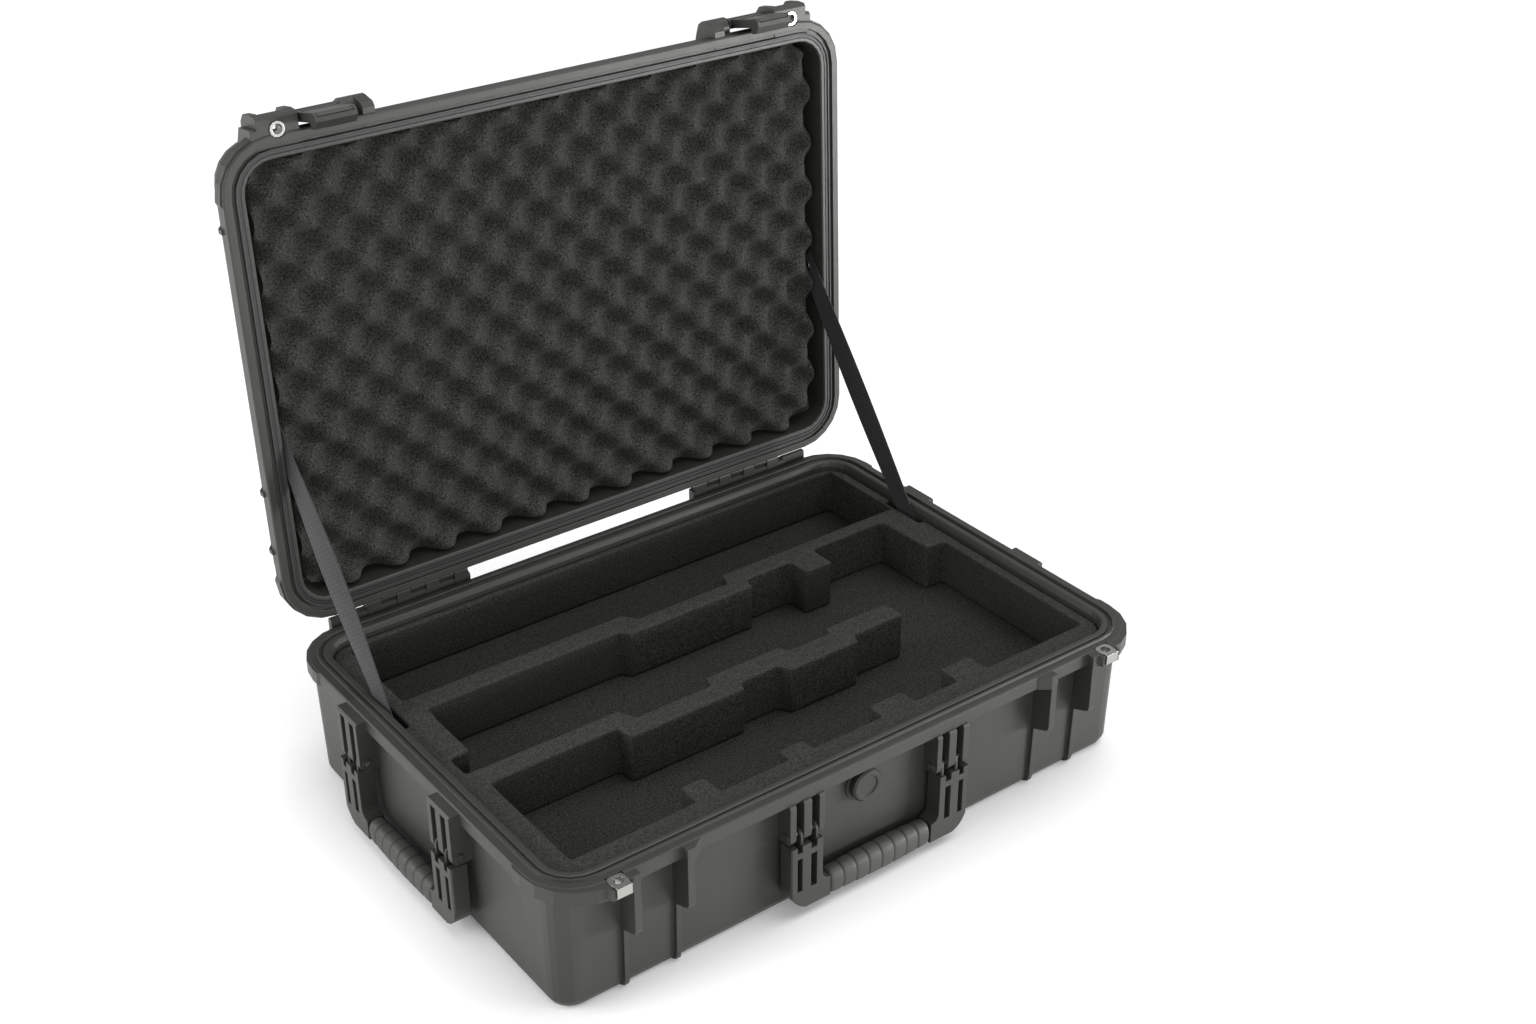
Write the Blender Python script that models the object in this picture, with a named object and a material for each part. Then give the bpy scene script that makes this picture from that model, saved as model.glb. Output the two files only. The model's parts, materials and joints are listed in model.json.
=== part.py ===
"""Hard equipment case with a foam-lined base, a hinged lid and three folding handles.

Lengths in this file are millimetres and are turned into metres where a mesh is made.
The origin is the centre of the base's flat underside: +X runs along the case, -Y is the
front with the latches, +Z is up.  The lid and everything on it is modelled closed, under
an empty on the hinge axis, and that empty is turned to show the case open.
"""
import math

import bmesh
import bpy
from mathutils import Matrix, Vector

MM = 0.001

# Driving dimensions
LENGTH = 678.0            # over the base's rim, along X
DEPTH = 478.0             # over the base's rim, along Y
RIM_Z = 140.0             # top face of the base's rim
LID_DEPTH = 54.0          # from the rim to the lid's outer face
BAND = 14.0               # height of the rim's down-turned band
RIM_CORNER = 50.0         # corner radius of both rims
WALL_CORNER = 22.0        # corner radius of the base's outer wall
FRONT_INSET = 16.0        # rim edge to the base's outer wall at the front
BACK_INSET = 12.0
END_INSET = 9.0
BASE_DRAFT = 2.0          # how much further in the wall is at the floor
BASE_INNER = 23.0         # rim edge to the base's inner wall
LID_INSET = 9.0
LID_INNER = 21.5
WALL = 4.8                # floor of the base and top of the lid
FIT = 0.4                 # gap that resting or touching pieces keep
LIP = 8.0                 # how far the rim's front corners stand out

LID_OPEN = 92.2           # degrees from closed to the straps' stop
HINGE_Y = DEPTH / 2 + 4.8
HINGE_Z = RIM_Z + 11.6
KNUCKLE = 4.6             # radius
KNUCKLE_COUNT = 7
HINGE_INNER = 141.0       # |x| of the hinge's inner end
HINGE_OUTER = 255.0

LATCH_X = 237.0           # |x| of each latch's centre
LATCH_Y = -DEPTH / 2 - 6.0
LATCH_Z = RIM_Z + 22.0
LATCH_HALF = 20.0
LATCH_FACE = -DEPTH / 2 - 10.0
LATCH_REST = 11.0         # degrees that a hanging latch stands off its closed place
TRIGGER_Y = LATCH_FACE + 2.8
TRIGGER_Z = RIM_Z + 6.0
FIN_SPACING = 54.0        # between the two keeper fins of one latch
FIN_WIDTH = 7.0
LUG_FACE = -DEPTH / 2 - 12.5           # front of the lugs that carry the eyelets
EYELET_X = 280.0
EYELET_Y = -DEPTH / 2 - 4.0
EYELET_HALF = (8.2, 7.6)               # plate of the base's eyelets
EYELET_ROUND = 7.2                     # radius of the lid's round ones
EYELET_BORE = 4.6
EYELET_THICK = 1.2

HANDLE_HALF = 104.0       # half of the handle's outer width
HANDLE_SHIFT = {"front": 2.5, "left": 18.0, "right": 18.0}
PIVOT_OUT = 12.0          # handle axis, out from the wall
PIVOT_DOWN = 50.0         # handle axis, below the rim
PIN_R = 3.1               # pins of the handles and the latches
BORE_R = 3.6
HINGE_PIN_R = 2.2
HINGE_BORE_R = 2.7
BRACKET_FRONT = 19.0
KNUCKLE_R = 7.0
HANDLE_BOTTOM = 130.0     # below the rim
BAR_TOP = 104.0
HANDLE_CORNER = 24.0

FOAM_TOP = RIM_Z - 8.0
POCKET_FLOOR = RIM_Z - 60.0
LAYER_SPLIT = RIM_Z - 97.5
FOAM_GAP = 1.0            # between the foam and the base's wall
LID_FOAM_FACE = RIM_Z + 5.0

STRAP_X = 314.6           # |x| of the webbing's middle
STRAP_WIDTH = 25.0
STRAP_THICK = 1.6
STRAP_BASE = (79.5, RIM_Z - 24.0)      # (y, z) of the lower screw
STRAP_LID = (35.0, RIM_Z + 24.0)       # (y, z) of the upper screw, lid closed

VALVE_X = -6.0
VALVE_Z = RIM_Z - 38.0

COLOURS = {
    "shell": ((0.055, 0.056, 0.051), 0.45, 0.0),
    "latch": ((0.060, 0.061, 0.056), 0.40, 0.0),
    "grip": ((0.050, 0.051, 0.048), 0.62, 0.0),
    "foam": ((0.030, 0.030, 0.029), 0.95, 0.0),
    "gasket": ((0.012, 0.012, 0.012), 0.60, 0.0),
    "webbing": ((0.022, 0.023, 0.021), 0.85, 0.0),
    "steel": ((0.62, 0.61, 0.58), 0.30, 1.0),
}


# ---------------------------------------------------------------- helpers

def clear_scene():
    for obj in list(bpy.data.objects):
        bpy.data.objects.remove(obj, do_unlink=True)


def make_material(name):
    colour, roughness, metallic = COLOURS[name]
    material = bpy.data.materials.new(name)
    material.use_nodes = True
    shader = material.node_tree.nodes["Principled BSDF"]
    shader.inputs["Base Color"].default_value = (*colour, 1.0)
    shader.inputs["Roughness"].default_value = roughness
    shader.inputs["Metallic"].default_value = metallic
    return material


def mesh_object(name, points, faces, material=None):
    """An object from points in millimetres; its faces are turned to point out."""
    mesh = bpy.data.meshes.new(name)
    mesh.from_pydata([Vector(p) * MM for p in points], [], faces)
    work = bmesh.new()
    work.from_mesh(mesh)
    bmesh.ops.recalc_face_normals(work, faces=work.faces)
    work.to_mesh(mesh)
    work.free()
    obj = bpy.data.objects.new(name, mesh)
    bpy.context.scene.collection.objects.link(obj)
    if material:
        mesh.materials.append(material)
    return obj


def rounded_rect(half_x, half_y, radius, steps=5, centre=(0.0, 0.0)):
    """Corner points of a rounded rectangle, anticlockwise from the +X, +Y corner."""
    points = []
    corners = ((1, 1, 0.0), (-1, 1, 90.0), (-1, -1, 180.0), (1, -1, 270.0))
    for sign_x, sign_y, start in corners:
        cx = centre[0] + sign_x * (half_x - radius)
        cy = centre[1] + sign_y * (half_y - radius)
        for step in range(steps + 1):
            angle = math.radians(start + 90.0 * step / steps)
            points.append((cx + radius * math.cos(angle), cy + radius * math.sin(angle)))
    return points


def arc(centre, radius, start, stop, steps):
    """Points on an arc in a plane; angles in degrees."""
    angles = [math.radians(start + (stop - start) * i / steps) for i in range(steps + 1)]
    return [(centre[0] + radius * math.cos(a), centre[1] + radius * math.sin(a)) for a in angles]


def extrude(name, outline, axis, low, high, material=None):
    """A prism.  The outline is (y, z) for axis X, (x, z) for axis Y and (x, y) for axis Z."""
    def place(a, b, along):
        return {"X": (along, a, b), "Y": (a, along, b), "Z": (a, b, along)}[axis]
    count = len(outline)
    points = [place(a, b, low) for a, b in outline] + [place(a, b, high) for a, b in outline]
    faces = [list(range(count)), list(range(count, 2 * count))]
    faces += [[i, (i + 1) % count, (i + 1) % count + count, i + count] for i in range(count)]
    return mesh_object(name, points, faces, material)


def box(name, low, high, material=None):
    outline = [(low[0], low[1]), (high[0], low[1]), (high[0], high[1]), (low[0], high[1])]
    return extrude(name, outline, "Z", low[2], high[2], material)


def cylinder(name, axis, centre, radius, low, high, sides=16, material=None):
    return extrude(name, arc(centre, radius, 0.0, 360.0 - 360.0 / sides, sides - 1), axis, low, high, material)


def loft(name, rings, material=None):
    """A closed skin through rings of equal length, capped at both ends."""
    count = len(rings[0])
    points = [point for ring in rings for point in ring]
    faces = [list(range(count)), list(range(len(points) - count, len(points)))]
    for row in range(len(rings) - 1):
        base = row * count
        for i in range(count):
            j = (i + 1) % count
            faces.append([base + i, base + j, base + count + j, base + count + i])
    return mesh_object(name, points, faces, material)


def tub(name, profile, material, outer_count=0, wall=None):
    """A rounded tray from (inset from the rim's edge, z) pairs, outside first.

    The first outer_count rings follow the wall's own insets and corner radius.
    """
    rings = []
    for index, (inset, z) in enumerate(profile):
        if index < outer_count:
            outline = wall(inset)
        else:
            radius = max(RIM_CORNER - inset, 14.0)
            outline = rounded_rect(LENGTH / 2 - inset, DEPTH / 2 - inset, radius)
        rings.append([(x, y, z) for x, y in outline])
    return loft(name, rings, material)


def revolve(name, axis, centre, profile, sides=16, material=None):
    """A solid turned about an axis from (radius, along) pairs."""
    rings = []
    for radius, along in profile:
        circle = arc(centre, radius, 0.0, 360.0 - 360.0 / sides, sides - 1)
        if axis == "X":
            rings.append([(along, a, b) for a, b in circle])
        elif axis == "Y":
            rings.append([(a, along, b) for a, b in circle])
        else:
            rings.append([(a, b, along) for a, b in circle])
    return loft(name, rings, material)


def ring_solid(name, outer, inner, low, high, material):
    """A flat closed ring between two outlines of equal length."""
    rings = []
    for outline, z in ((outer, low), (outer, high), (inner, high), (inner, low)):
        rings.append([(x, y, z) for x, y in outline])
    count = len(outer)
    points = [point for ring in rings for point in ring]
    faces = []
    for row in range(4):
        base = row * count
        following = ((row + 1) % 4) * count
        for i in range(count):
            j = (i + 1) % count
            faces.append([base + i, base + j, following + j, following + i])
    return mesh_object(name, points, faces, material)


def combine(target, tool, operation):
    """Apply one Boolean to the target and remove the tool."""
    modifier = target.modifiers.new(operation, "BOOLEAN")
    modifier.operation = operation
    modifier.object = tool
    modifier.solver = "EXACT"
    depsgraph = bpy.context.evaluated_depsgraph_get()
    mesh = bpy.data.meshes.new_from_object(target.evaluated_get(depsgraph), depsgraph=depsgraph)
    target.modifiers.clear()
    target.data = mesh
    bpy.data.objects.remove(tool, do_unlink=True)


def add(target, *tools):
    for tool in tools:
        combine(target, tool, "UNION")


def cut(target, *tools):
    for tool in tools:
        combine(target, tool, "DIFFERENCE")


def shade(obj, angle=35.0):
    obj.data.shade_smooth()
    obj.data.set_sharp_from_angle(angle=math.radians(angle))


def empty_at(name, point, parent=None):
    obj = bpy.data.objects.new(name, None)
    bpy.context.scene.collection.objects.link(obj)
    origin = Vector((0.0, 0.0, 0.0)) if parent is None else Vector(parent["point"])
    obj["point"] = point
    obj.location = (Vector(point) - origin) * MM
    obj.parent = parent
    return obj


def hang(obj, parent):
    """Give an object its empty's origin and parent it there."""
    obj.data.transform(Matrix.Translation(-Vector(parent["point"]) * MM))
    obj.parent = parent
    shade(obj)


def sides():
    return (("left", -1), ("right", 1))


def mirrored(points, sign):
    return [(sign * a, b) for a, b in points]


def span(sign, low, high):
    """The X range of something that lies between two distances from the middle."""
    return (low, high) if sign > 0 else (-high, -low)


# ---------------------------------------------------------------- base shell

def base_wall(extra):
    """The base's outer wall, further in by extra; its insets differ from side to side."""
    half_x = LENGTH / 2 - END_INSET - extra
    half_y = (DEPTH - FRONT_INSET - BACK_INSET) / 2 - extra
    centre = (0.0, (FRONT_INSET - BACK_INSET) / 2)
    return rounded_rect(half_x, half_y, WALL_CORNER - extra * 0.5, 5, centre)


def base_profile():
    """Outside from the floor up, over the rim's ridges, and down inside."""
    return [
        (BASE_DRAFT + 9.0, 0.0), (BASE_DRAFT + 3.0, 2.6), (BASE_DRAFT, 9.0), (0.0, RIM_Z - BAND),
        (0.3, RIM_Z - BAND), (0.0, RIM_Z - BAND + 0.8),
        (0.0, RIM_Z - 1.2), (1.2, RIM_Z),
        (8.3, RIM_Z), (8.8, RIM_Z + 2.2), (11.0, RIM_Z + 2.2), (11.5, RIM_Z - 1.0),
        (14.1, RIM_Z - 1.0), (14.8, RIM_Z + 0.6), (16.2, RIM_Z + 1.2), (19.6, RIM_Z + 1.2),
        (21.6, RIM_Z + 0.2), (BASE_INNER, RIM_Z - 4.0),
        (BASE_INNER, WALL + 6.0), (BASE_INNER + 6.0, WALL),
    ]


def front_lips(base, sign):
    """The front corners of the rim stand out, with a gap between for the latch."""
    edge = -DEPTH / 2
    front = edge - LIP
    inner_fin = LATCH_X - FIN_SPACING / 2
    outer_fin = LATCH_X + FIN_SPACING / 2
    inner = [(inner_fin - 15.0, edge + 6.0), (inner_fin - 15.0, edge - 0.6),
             (inner_fin - 4.0, front), (inner_fin + FIN_WIDTH / 2, front),
             (inner_fin + FIN_WIDTH / 2, edge + 6.0)]
    side = LENGTH / 2 + 1.6
    corner = arc((side - RIM_CORNER - 8.0, front + RIM_CORNER + 8.0), RIM_CORNER + 8.0, 270.0, 360.0, 5)
    outer = [(outer_fin - FIN_WIDTH / 2, edge + 6.0), (outer_fin - FIN_WIDTH / 2, front)]
    outer += corner
    outer += [(side, -177.0), (side - 2.4, -172.0), (side - 8.0, -172.0),
              (side - 12.0, -200.0), (side - 38.0, edge + 7.0)]
    for outline in (inner, outer):
        add(base, extrude("lip", mirrored(outline, sign), "Z", RIM_Z - BAND - 0.4, RIM_Z - 0.5))
    low, high = EYELET_X - 13.6, EYELET_X + 13.6
    lug = [(low, front + 3.0), (low + 3.0, LUG_FACE), (high - 3.0, LUG_FACE), (high, front + 3.0)]
    add(base, extrude("lug", mirrored(lug, sign), "Z", RIM_Z - 12.5, RIM_Z - 0.9))


def back_lips(base, sign):
    side = LENGTH / 2 + 1.6
    back = DEPTH / 2 + 1.6
    outline = [(side - 10.0, 174.0), (side - 2.4, 174.0), (side, 179.0)]
    outline += arc((side - RIM_CORNER - 2.0, back - RIM_CORNER - 2.0), RIM_CORNER + 2.0, 0.0, 90.0, 5)
    outline += [(side - 64.0, back), (side - 67.0, back - 5.0), (side - 40.0, back - 8.0),
                (side - 12.0, 200.0)]
    add(base, extrude("lip", mirrored(outline, sign), "Z", RIM_Z - BAND - 0.4, RIM_Z - 0.5))


def keeper_fins(base, sign):
    """Two fins guard each latch, and a thin rib runs on below each to the floor."""
    wall = -DEPTH / 2 + FRONT_INSET
    front = -DEPTH / 2 - LIP + 0.3
    top = RIM_Z - BAND + 1.0
    for offset in (-FIN_SPACING / 2, FIN_SPACING / 2):
        middle = sign * (LATCH_X + offset)
        fin = [(wall + 2.5, top), (front, top), (front, RIM_Z - 60.0), (front + 1.2, RIM_Z - 63.0),
               (front + 4.0, RIM_Z - 65.0), (wall - 1.0, RIM_Z - 72.0), (wall + 2.5, RIM_Z - 72.0)]
        add(base, extrude("fin", fin, "X", middle - FIN_WIDTH / 2, middle + FIN_WIDTH / 2))
        foot = wall + BASE_DRAFT
        rib = [(wall + 3.0, RIM_Z - 66.0), (wall - 3.4, RIM_Z - 66.0), (foot - 4.0, 10.0),
               (foot - 2.4, 4.0), (foot + 3.0, 0.6), (foot + 12.0, 0.0), (foot + 12.0, 3.0),
               (foot + 4.0, 12.0)]
        add(base, extrude("rib", rib, "X", middle - 2.4, middle + 2.4))


def wall_frame(wall):
    """How a handle's wall lies: (along, out, height) turned into a point."""
    shift = HANDLE_SHIFT[wall]
    if wall == "front":
        return lambda along, out, z: (shift + along, -DEPTH / 2 + FRONT_INSET - out, z)
    sign = -1 if wall == "left" else 1
    return lambda along, out, z: (sign * (LENGTH / 2 - END_INSET + out), shift + along, z)


def wall_prism(name, wall, outline, low, high, material=None):
    """A prism along a wall, from an outline of (out, height) points."""
    frame = wall_frame(wall)
    rings = [[frame(along, out, z) for out, z in outline] for along in (low, high)]
    return loft(name, rings, material)


def bracket_ribs(base, wall):
    """Three ribs carry each end of a handle on its pin; bosses close the pin's ends."""
    pivot = (PIVOT_OUT, RIM_Z - PIVOT_DOWN)
    if wall == "front":
        top = RIM_Z - BAND + 1.0
    else:
        top = RIM_Z - 3.0
    outline = [(-2.0, RIM_Z - BAND + 1.0), (7.0, top), (BRACKET_FRONT - 1.5, top), (BRACKET_FRONT, top - 2.0)]
    outline += arc(pivot, KNUCKLE_R, 0.0, -90.0, 4)
    outline += [(-2.0, pivot[1] - KNUCKLE_R)]
    boss = [(pivot[0] + a, pivot[1] + b) for a, b in rounded_rect(4.6, 4.6, 4.4, 2)]
    for sign in (-1, 1):
        for low, high in ((66.0, 71.6), (80.2, 88.8), (97.4, HANDLE_HALF)):
            first, second = span(sign, low, high)
            add(base, wall_prism("rib", wall, outline, first, second))
        for low, high in ((64.8, 67.0), (HANDLE_HALF - 1.0, HANDLE_HALF + 1.2)):
            first, second = span(sign, low, high)
            add(base, wall_prism("boss", wall, boss, first, second))
        if wall != "front":
            cap = [(6.0, top - 4.5), (6.0, top), (BRACKET_FRONT - 1.5, top), (BRACKET_FRONT, top - 2.0),
                   (BRACKET_FRONT, top - 4.5)]
            first, second = span(sign, 66.0, HANDLE_HALF)
            add(base, wall_prism("cap", wall, cap, first, second))
        first, second = span(sign, 60.0, HANDLE_HALF - 0.6)
        bore = arc(pivot, BORE_R, 0.0, 324.0, 9)
        cut(base, wall_prism("bore", wall, bore, first, second))


def hinge_spans(sign, own_first):
    """X ranges of one leaf's knuckles; the two leaves take turns along the pin."""
    pitch = (HINGE_OUTER - HINGE_INNER) / KNUCKLE_COUNT
    spans = []
    for index in range(0 if own_first else 1, KNUCKLE_COUNT, 2):
        low = HINGE_INNER + index * pitch
        spans.append(span(sign, low + FIT, low + pitch - FIT))
    return spans


def base_knuckles(base, sign):
    back = DEPTH / 2
    axis = (HINGE_Y, HINGE_Z)
    outline = [(back - 6.0, RIM_Z - 13.0), (HINGE_Y + KNUCKLE - 1.5, RIM_Z - 13.0),
               (HINGE_Y + KNUCKLE, RIM_Z - 8.0)]
    outline += arc(axis, KNUCKLE, 0.0, 180.0, 6)
    outline += [(HINGE_Y - KNUCKLE, RIM_Z - 2.0), (back - 6.0, RIM_Z - 4.0)]
    for low, high in hinge_spans(sign, True):
        add(base, extrude("knuckle", outline, "X", low, high))
    ledge = [(back - 6.0, RIM_Z - 13.0), (HINGE_Y + KNUCKLE - 1.0, RIM_Z - 13.0),
             (HINGE_Y + KNUCKLE, RIM_Z - 9.0), (HINGE_Y + KNUCKLE, HINGE_Z - KNUCKLE - 0.6),
             (back + 2.8, HINGE_Z - KNUCKLE - 0.6), (back + 0.6, RIM_Z + 4.6), (back + 0.6, RIM_Z - 3.0),
             (back - 6.0, RIM_Z - 4.0)]
    low, high = span(sign, HINGE_INNER - 2.0, HINGE_OUTER + 10.0)
    add(base, extrude("ledge", ledge, "X", low, high))
    low, high = span(sign, HINGE_INNER - 5.0, HINGE_OUTER + 5.0)
    cut(base, cylinder("bore", "X", axis, HINGE_BORE_R, low, high, 10))
    stop = [(back - 6.0, RIM_Z - 13.0), (back + 8.0, RIM_Z - 13.0), (back + 9.0, RIM_Z - 11.0),
            (back + 9.0, RIM_Z + 6.0), (back + 7.5, RIM_Z + 8.0), (back + 2.6, RIM_Z + 8.0),
            (back + 2.2, RIM_Z - 3.0), (back - 6.0, RIM_Z - 4.0)]
    low, high = span(sign, HINGE_OUTER + 8.0, HINGE_OUTER + 38.0)
    add(base, extrude("stop", stop, "X", low, high))


def make_base(material):
    base = tub("base_shell", base_profile(), material, 4, base_wall)
    for name, sign in sides():
        front_lips(base, sign)
        back_lips(base, sign)
        keeper_fins(base, sign)
        base_knuckles(base, sign)
        half_x, half_y = EYELET_HALF
        cut(base, box("seat", (sign * EYELET_X - half_x - 0.5, EYELET_Y - 20.0, RIM_Z - 2.2),
                      (sign * EYELET_X + half_x + 0.5, EYELET_Y + half_y + 0.5, RIM_Z + 6.0)))
        cut_eyelet_hole(base, sign, RIM_Z - 20.0, RIM_Z + 6.0)
        y, z = STRAP_BASE
        inner = LENGTH / 2 - BASE_INNER
        low, high = span(sign, inner - 2.0, inner + 3.6)
        cut(base, cylinder("screw hole", "X", (y, z), 2.4, low, high, 12))
    for wall in ("front", "left", "right"):
        bracket_ribs(base, wall)
    front = -DEPTH / 2 + FRONT_INSET
    centre = (VALVE_X, VALVE_Z)
    add(base, cylinder("boss", "Y", centre, 19.0, front - 2.4, front + 2.0, 24))
    cut(base, cylinder("valve hole", "Y", centre, 8.0, front - 10.0, front + 12.0, 16))
    return base


def cut_eyelet_hole(shell, sign, low, high):
    """A hole through the shell for an eyelet's barrel."""
    reach = EYELET_BORE + 1.5
    hole = rounded_rect(reach, reach, reach - 0.4, 3, (sign * EYELET_X, EYELET_Y))
    cut(shell, extrude("hole", hole, "Z", low, high))


# ---------------------------------------------------------------- base fittings

def make_eyelet(name, sign, plate_z, outward, half, radius, material):
    """A grommet: a plate and a barrel that lines the hole through the shell."""
    centre = (sign * EYELET_X, EYELET_Y)
    bore = rounded_rect(EYELET_BORE, EYELET_BORE, EYELET_BORE - 0.4, 3, centre)
    outer = rounded_rect(half[0], half[1], radius, 3, centre)
    thick = EYELET_THICK * outward
    low, high = sorted((plate_z, plate_z + thick))
    eyelet = ring_solid(name, outer, bore, low, high, material)
    reach = EYELET_BORE + 1.0
    neck = rounded_rect(reach, reach, reach - 0.4, 3, centre)
    low, high = sorted((plate_z + thick / 2, plate_z - 8.0 * outward))
    add(eyelet, ring_solid("barrel", neck, bore, low, high, material))
    return eyelet


def make_base_eyelet(name, sign, material):
    """The base's eyelet is square and has a tab down the front of its lug."""
    x = sign * EYELET_X
    plate_z = RIM_Z - 1.8
    eyelet = make_eyelet(name, sign, plate_z, 1, EYELET_HALF, 4.0, material)
    front = LUG_FACE - FIT
    high = plate_z + EYELET_THICK
    tab = [(x - 7.4, front - EYELET_THICK), (x + 7.4, front - EYELET_THICK), (x + 7.4, front), (x - 7.4, front)]
    add(eyelet, extrude("tab", tab, "Z", plate_z - 8.8, high))
    back = EYELET_Y - EYELET_HALF[1] + 2.0
    bridge = [(x - 7.4, front - 0.6), (x + 7.4, front - 0.6), (x + 7.4, back), (x - 7.4, back)]
    add(eyelet, extrude("bridge", bridge, "Z", plate_z, high))
    inner = EYELET_BORE - 0.2
    opening = rounded_rect(inner, inner, inner - 0.4, 3, (x, EYELET_Y))
    cut(eyelet, extrude("opening", opening, "Z", RIM_Z - 30.0, RIM_Z + 40.0))
    return eyelet


def foam_outline(shrink=0.0):
    inset = BASE_INNER + FOAM_GAP + shrink
    return rounded_rect(LENGTH / 2 - inset, DEPTH / 2 - inset, RIM_CORNER - inset)


def back_pocket():
    """The long channel at the back, whose front wall follows the first divider."""
    return [(-293.0, 208.0), (-293.0, 99.0), (-50.0, 99.0), (-38.0, 84.0), (70.0, 84.0),
            (75.0, 101.0), (304.0, 101.0), (304.0, 208.0)]


def main_pocket():
    """The middle and front compartments, which join round the end of the second divider."""
    middle = [(-281.0, 75.0), (-68.0, 75.0), (-60.0, 65.0), (88.0, 65.0), (90.0, 79.0), (147.0, 79.0),
              (149.0, 53.0), (181.0, 53.0), (181.0, 85.0), (277.0, 85.0), (280.0, 15.0), (303.0, 13.0)]
    front = [(303.0, -189.0), (177.0, -189.0), (175.0, -164.0), (140.0, -164.0), (140.0, -189.0),
             (87.0, -189.0), (85.0, -170.0), (46.0, -170.0), (46.0, -190.0), (-35.0, -190.0),
             (-36.0, -174.0), (-62.0, -174.0), (-62.0, -190.0), (-137.0, -190.0), (-139.0, -165.0),
             (-163.0, -165.0), (-163.0, -190.0), (-292.0, -190.0)]
    divider = [(-292.0, -58.0), (-158.0, -58.0), (-155.0, -77.0), (-28.0, -77.0), (-25.0, -66.0),
               (20.0, -66.0), (28.0, -79.0), (108.0, -79.0), (112.0, -68.0), (175.0, -68.0),
               (172.0, -43.0), (98.0, -42.0), (94.0, -51.0), (45.0, -51.0), (38.0, -40.0),
               (-46.0, -41.0), (-50.0, -54.0), (-134.0, -54.0), (-143.0, -36.0)]
    left = [(-302.0, -34.0), (-303.0, -6.0), (-282.0, -5.0)]
    return middle + front + divider + left


def foam_clearances(foam, low, high):
    """Room in the foam for the straps and for the valve's nut."""
    edge = LENGTH / 2 - BASE_INNER + 5.0
    for name, sign in sides():
        if high > STRAP_BASE[1]:
            first, second = span(sign, edge - 14.0, edge)
            cut(foam, box("strap room", (first, 59.0, RIM_Z - 43.0), (second, 116.0, RIM_Z)))
    if low < VALVE_Z < high:
        front = -DEPTH / 2 + BASE_INNER
        cut(foam, cylinder("nut room", "Y", (VALVE_X, VALVE_Z), 16.0, front - 5.0, front + 9.0, 20))


def make_base_foam(material):
    """Three foam layers: two plain ones below, and the tray with its cut pockets on top."""
    layers = []
    heights = (("base_foam_lower", WALL + FIT, LAYER_SPLIT), ("base_foam_middle", LAYER_SPLIT + FIT, POCKET_FLOOR),
               ("base_foam_tray", POCKET_FLOOR + FIT, FOAM_TOP))
    for name, low, high in heights:
        if name == "base_foam_lower":
            rings = []
            for shrink, z in ((6.5, low), (0.4, low + 6.5), (0.0, high)):
                rings.append([(x, y, z) for x, y in foam_outline(shrink)])
            layer = loft(name, rings, material)
        else:
            layer = extrude(name, foam_outline(), "Z", low, high, material)
        layers.append(layer)
    tray = layers[2]
    foam_clearances(tray, POCKET_FLOOR, FOAM_TOP)
    for outline in (back_pocket(), main_pocket()):
        cut(tray, extrude("pocket", outline, "Z", POCKET_FLOOR - 5.0, FOAM_TOP + 5.0))
    return layers


def make_valve(material, seal_material):
    """A pressure valve: a cap outside, a seal under it and a nut inside the wall."""
    front = -DEPTH / 2 + FRONT_INSET - 2.4
    inside = -DEPTH / 2 + BASE_INNER
    centre = (VALVE_X, VALVE_Z)
    cap = revolve("valve_cap", "Y", centre,
                  [(6.4, inside + 7.0), (6.4, front - 2.4), (16.4, front - 2.4), (16.4, front - 6.0),
                   (14.6, front - 8.0), (11.0, front - 8.0), (10.2, front - 6.6), (4.0, front - 6.6)],
                  24, material)
    seal = ring_between("valve_seal", centre, 7.0, 12.0, front - 2.0, front - FIT, seal_material)
    nut = ring_between("valve_nut", centre, 6.9, 12.5, inside + FIT, inside + 5.4, material)
    return [cap, seal, nut]


def ring_between(name, centre, inner, outer, low, high, material, outer_sides=18):
    """A flat ring on an axis along Y."""
    points = []
    for radius, along in ((outer, low), (outer, high), (inner, high), (inner, low)):
        circle = arc(centre, radius, 0.0, 360.0 - 360.0 / outer_sides, outer_sides - 1)
        points += [(a, along, b) for a, b in circle]
    faces = []
    for row in range(4):
        base = row * outer_sides
        following = ((row + 1) % 4) * outer_sides
        for i in range(outer_sides):
            j = (i + 1) % outer_sides
            faces.append([base + i, base + j, following + j, following + i])
    return mesh_object(name, points, faces, material)


# ---------------------------------------------------------------- handles

def handle_outline(top):
    """The U of a handle as seen from the front, with rounded lower corners."""
    low = RIM_Z - HANDLE_BOTTOM
    bar = RIM_Z - BAR_TOP
    inner = 69.0
    outer = HANDLE_HALF
    points = [(-outer, top)]
    points += arc((-outer + HANDLE_CORNER, low + HANDLE_CORNER), HANDLE_CORNER, 180.0, 270.0, 5)
    points += arc((outer - HANDLE_CORNER, low + HANDLE_CORNER), HANDLE_CORNER, 270.0, 360.0, 5)
    points += [(outer, top), (inner, top)]
    points += arc((inner - 8.0, bar + 4.0), 8.0, 0.0, -90.0, 3)
    points += arc((-inner + 8.0, bar + 4.0), 8.0, 270.0, 180.0, 3)
    points += [(-inner, top)]
    return points


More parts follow.
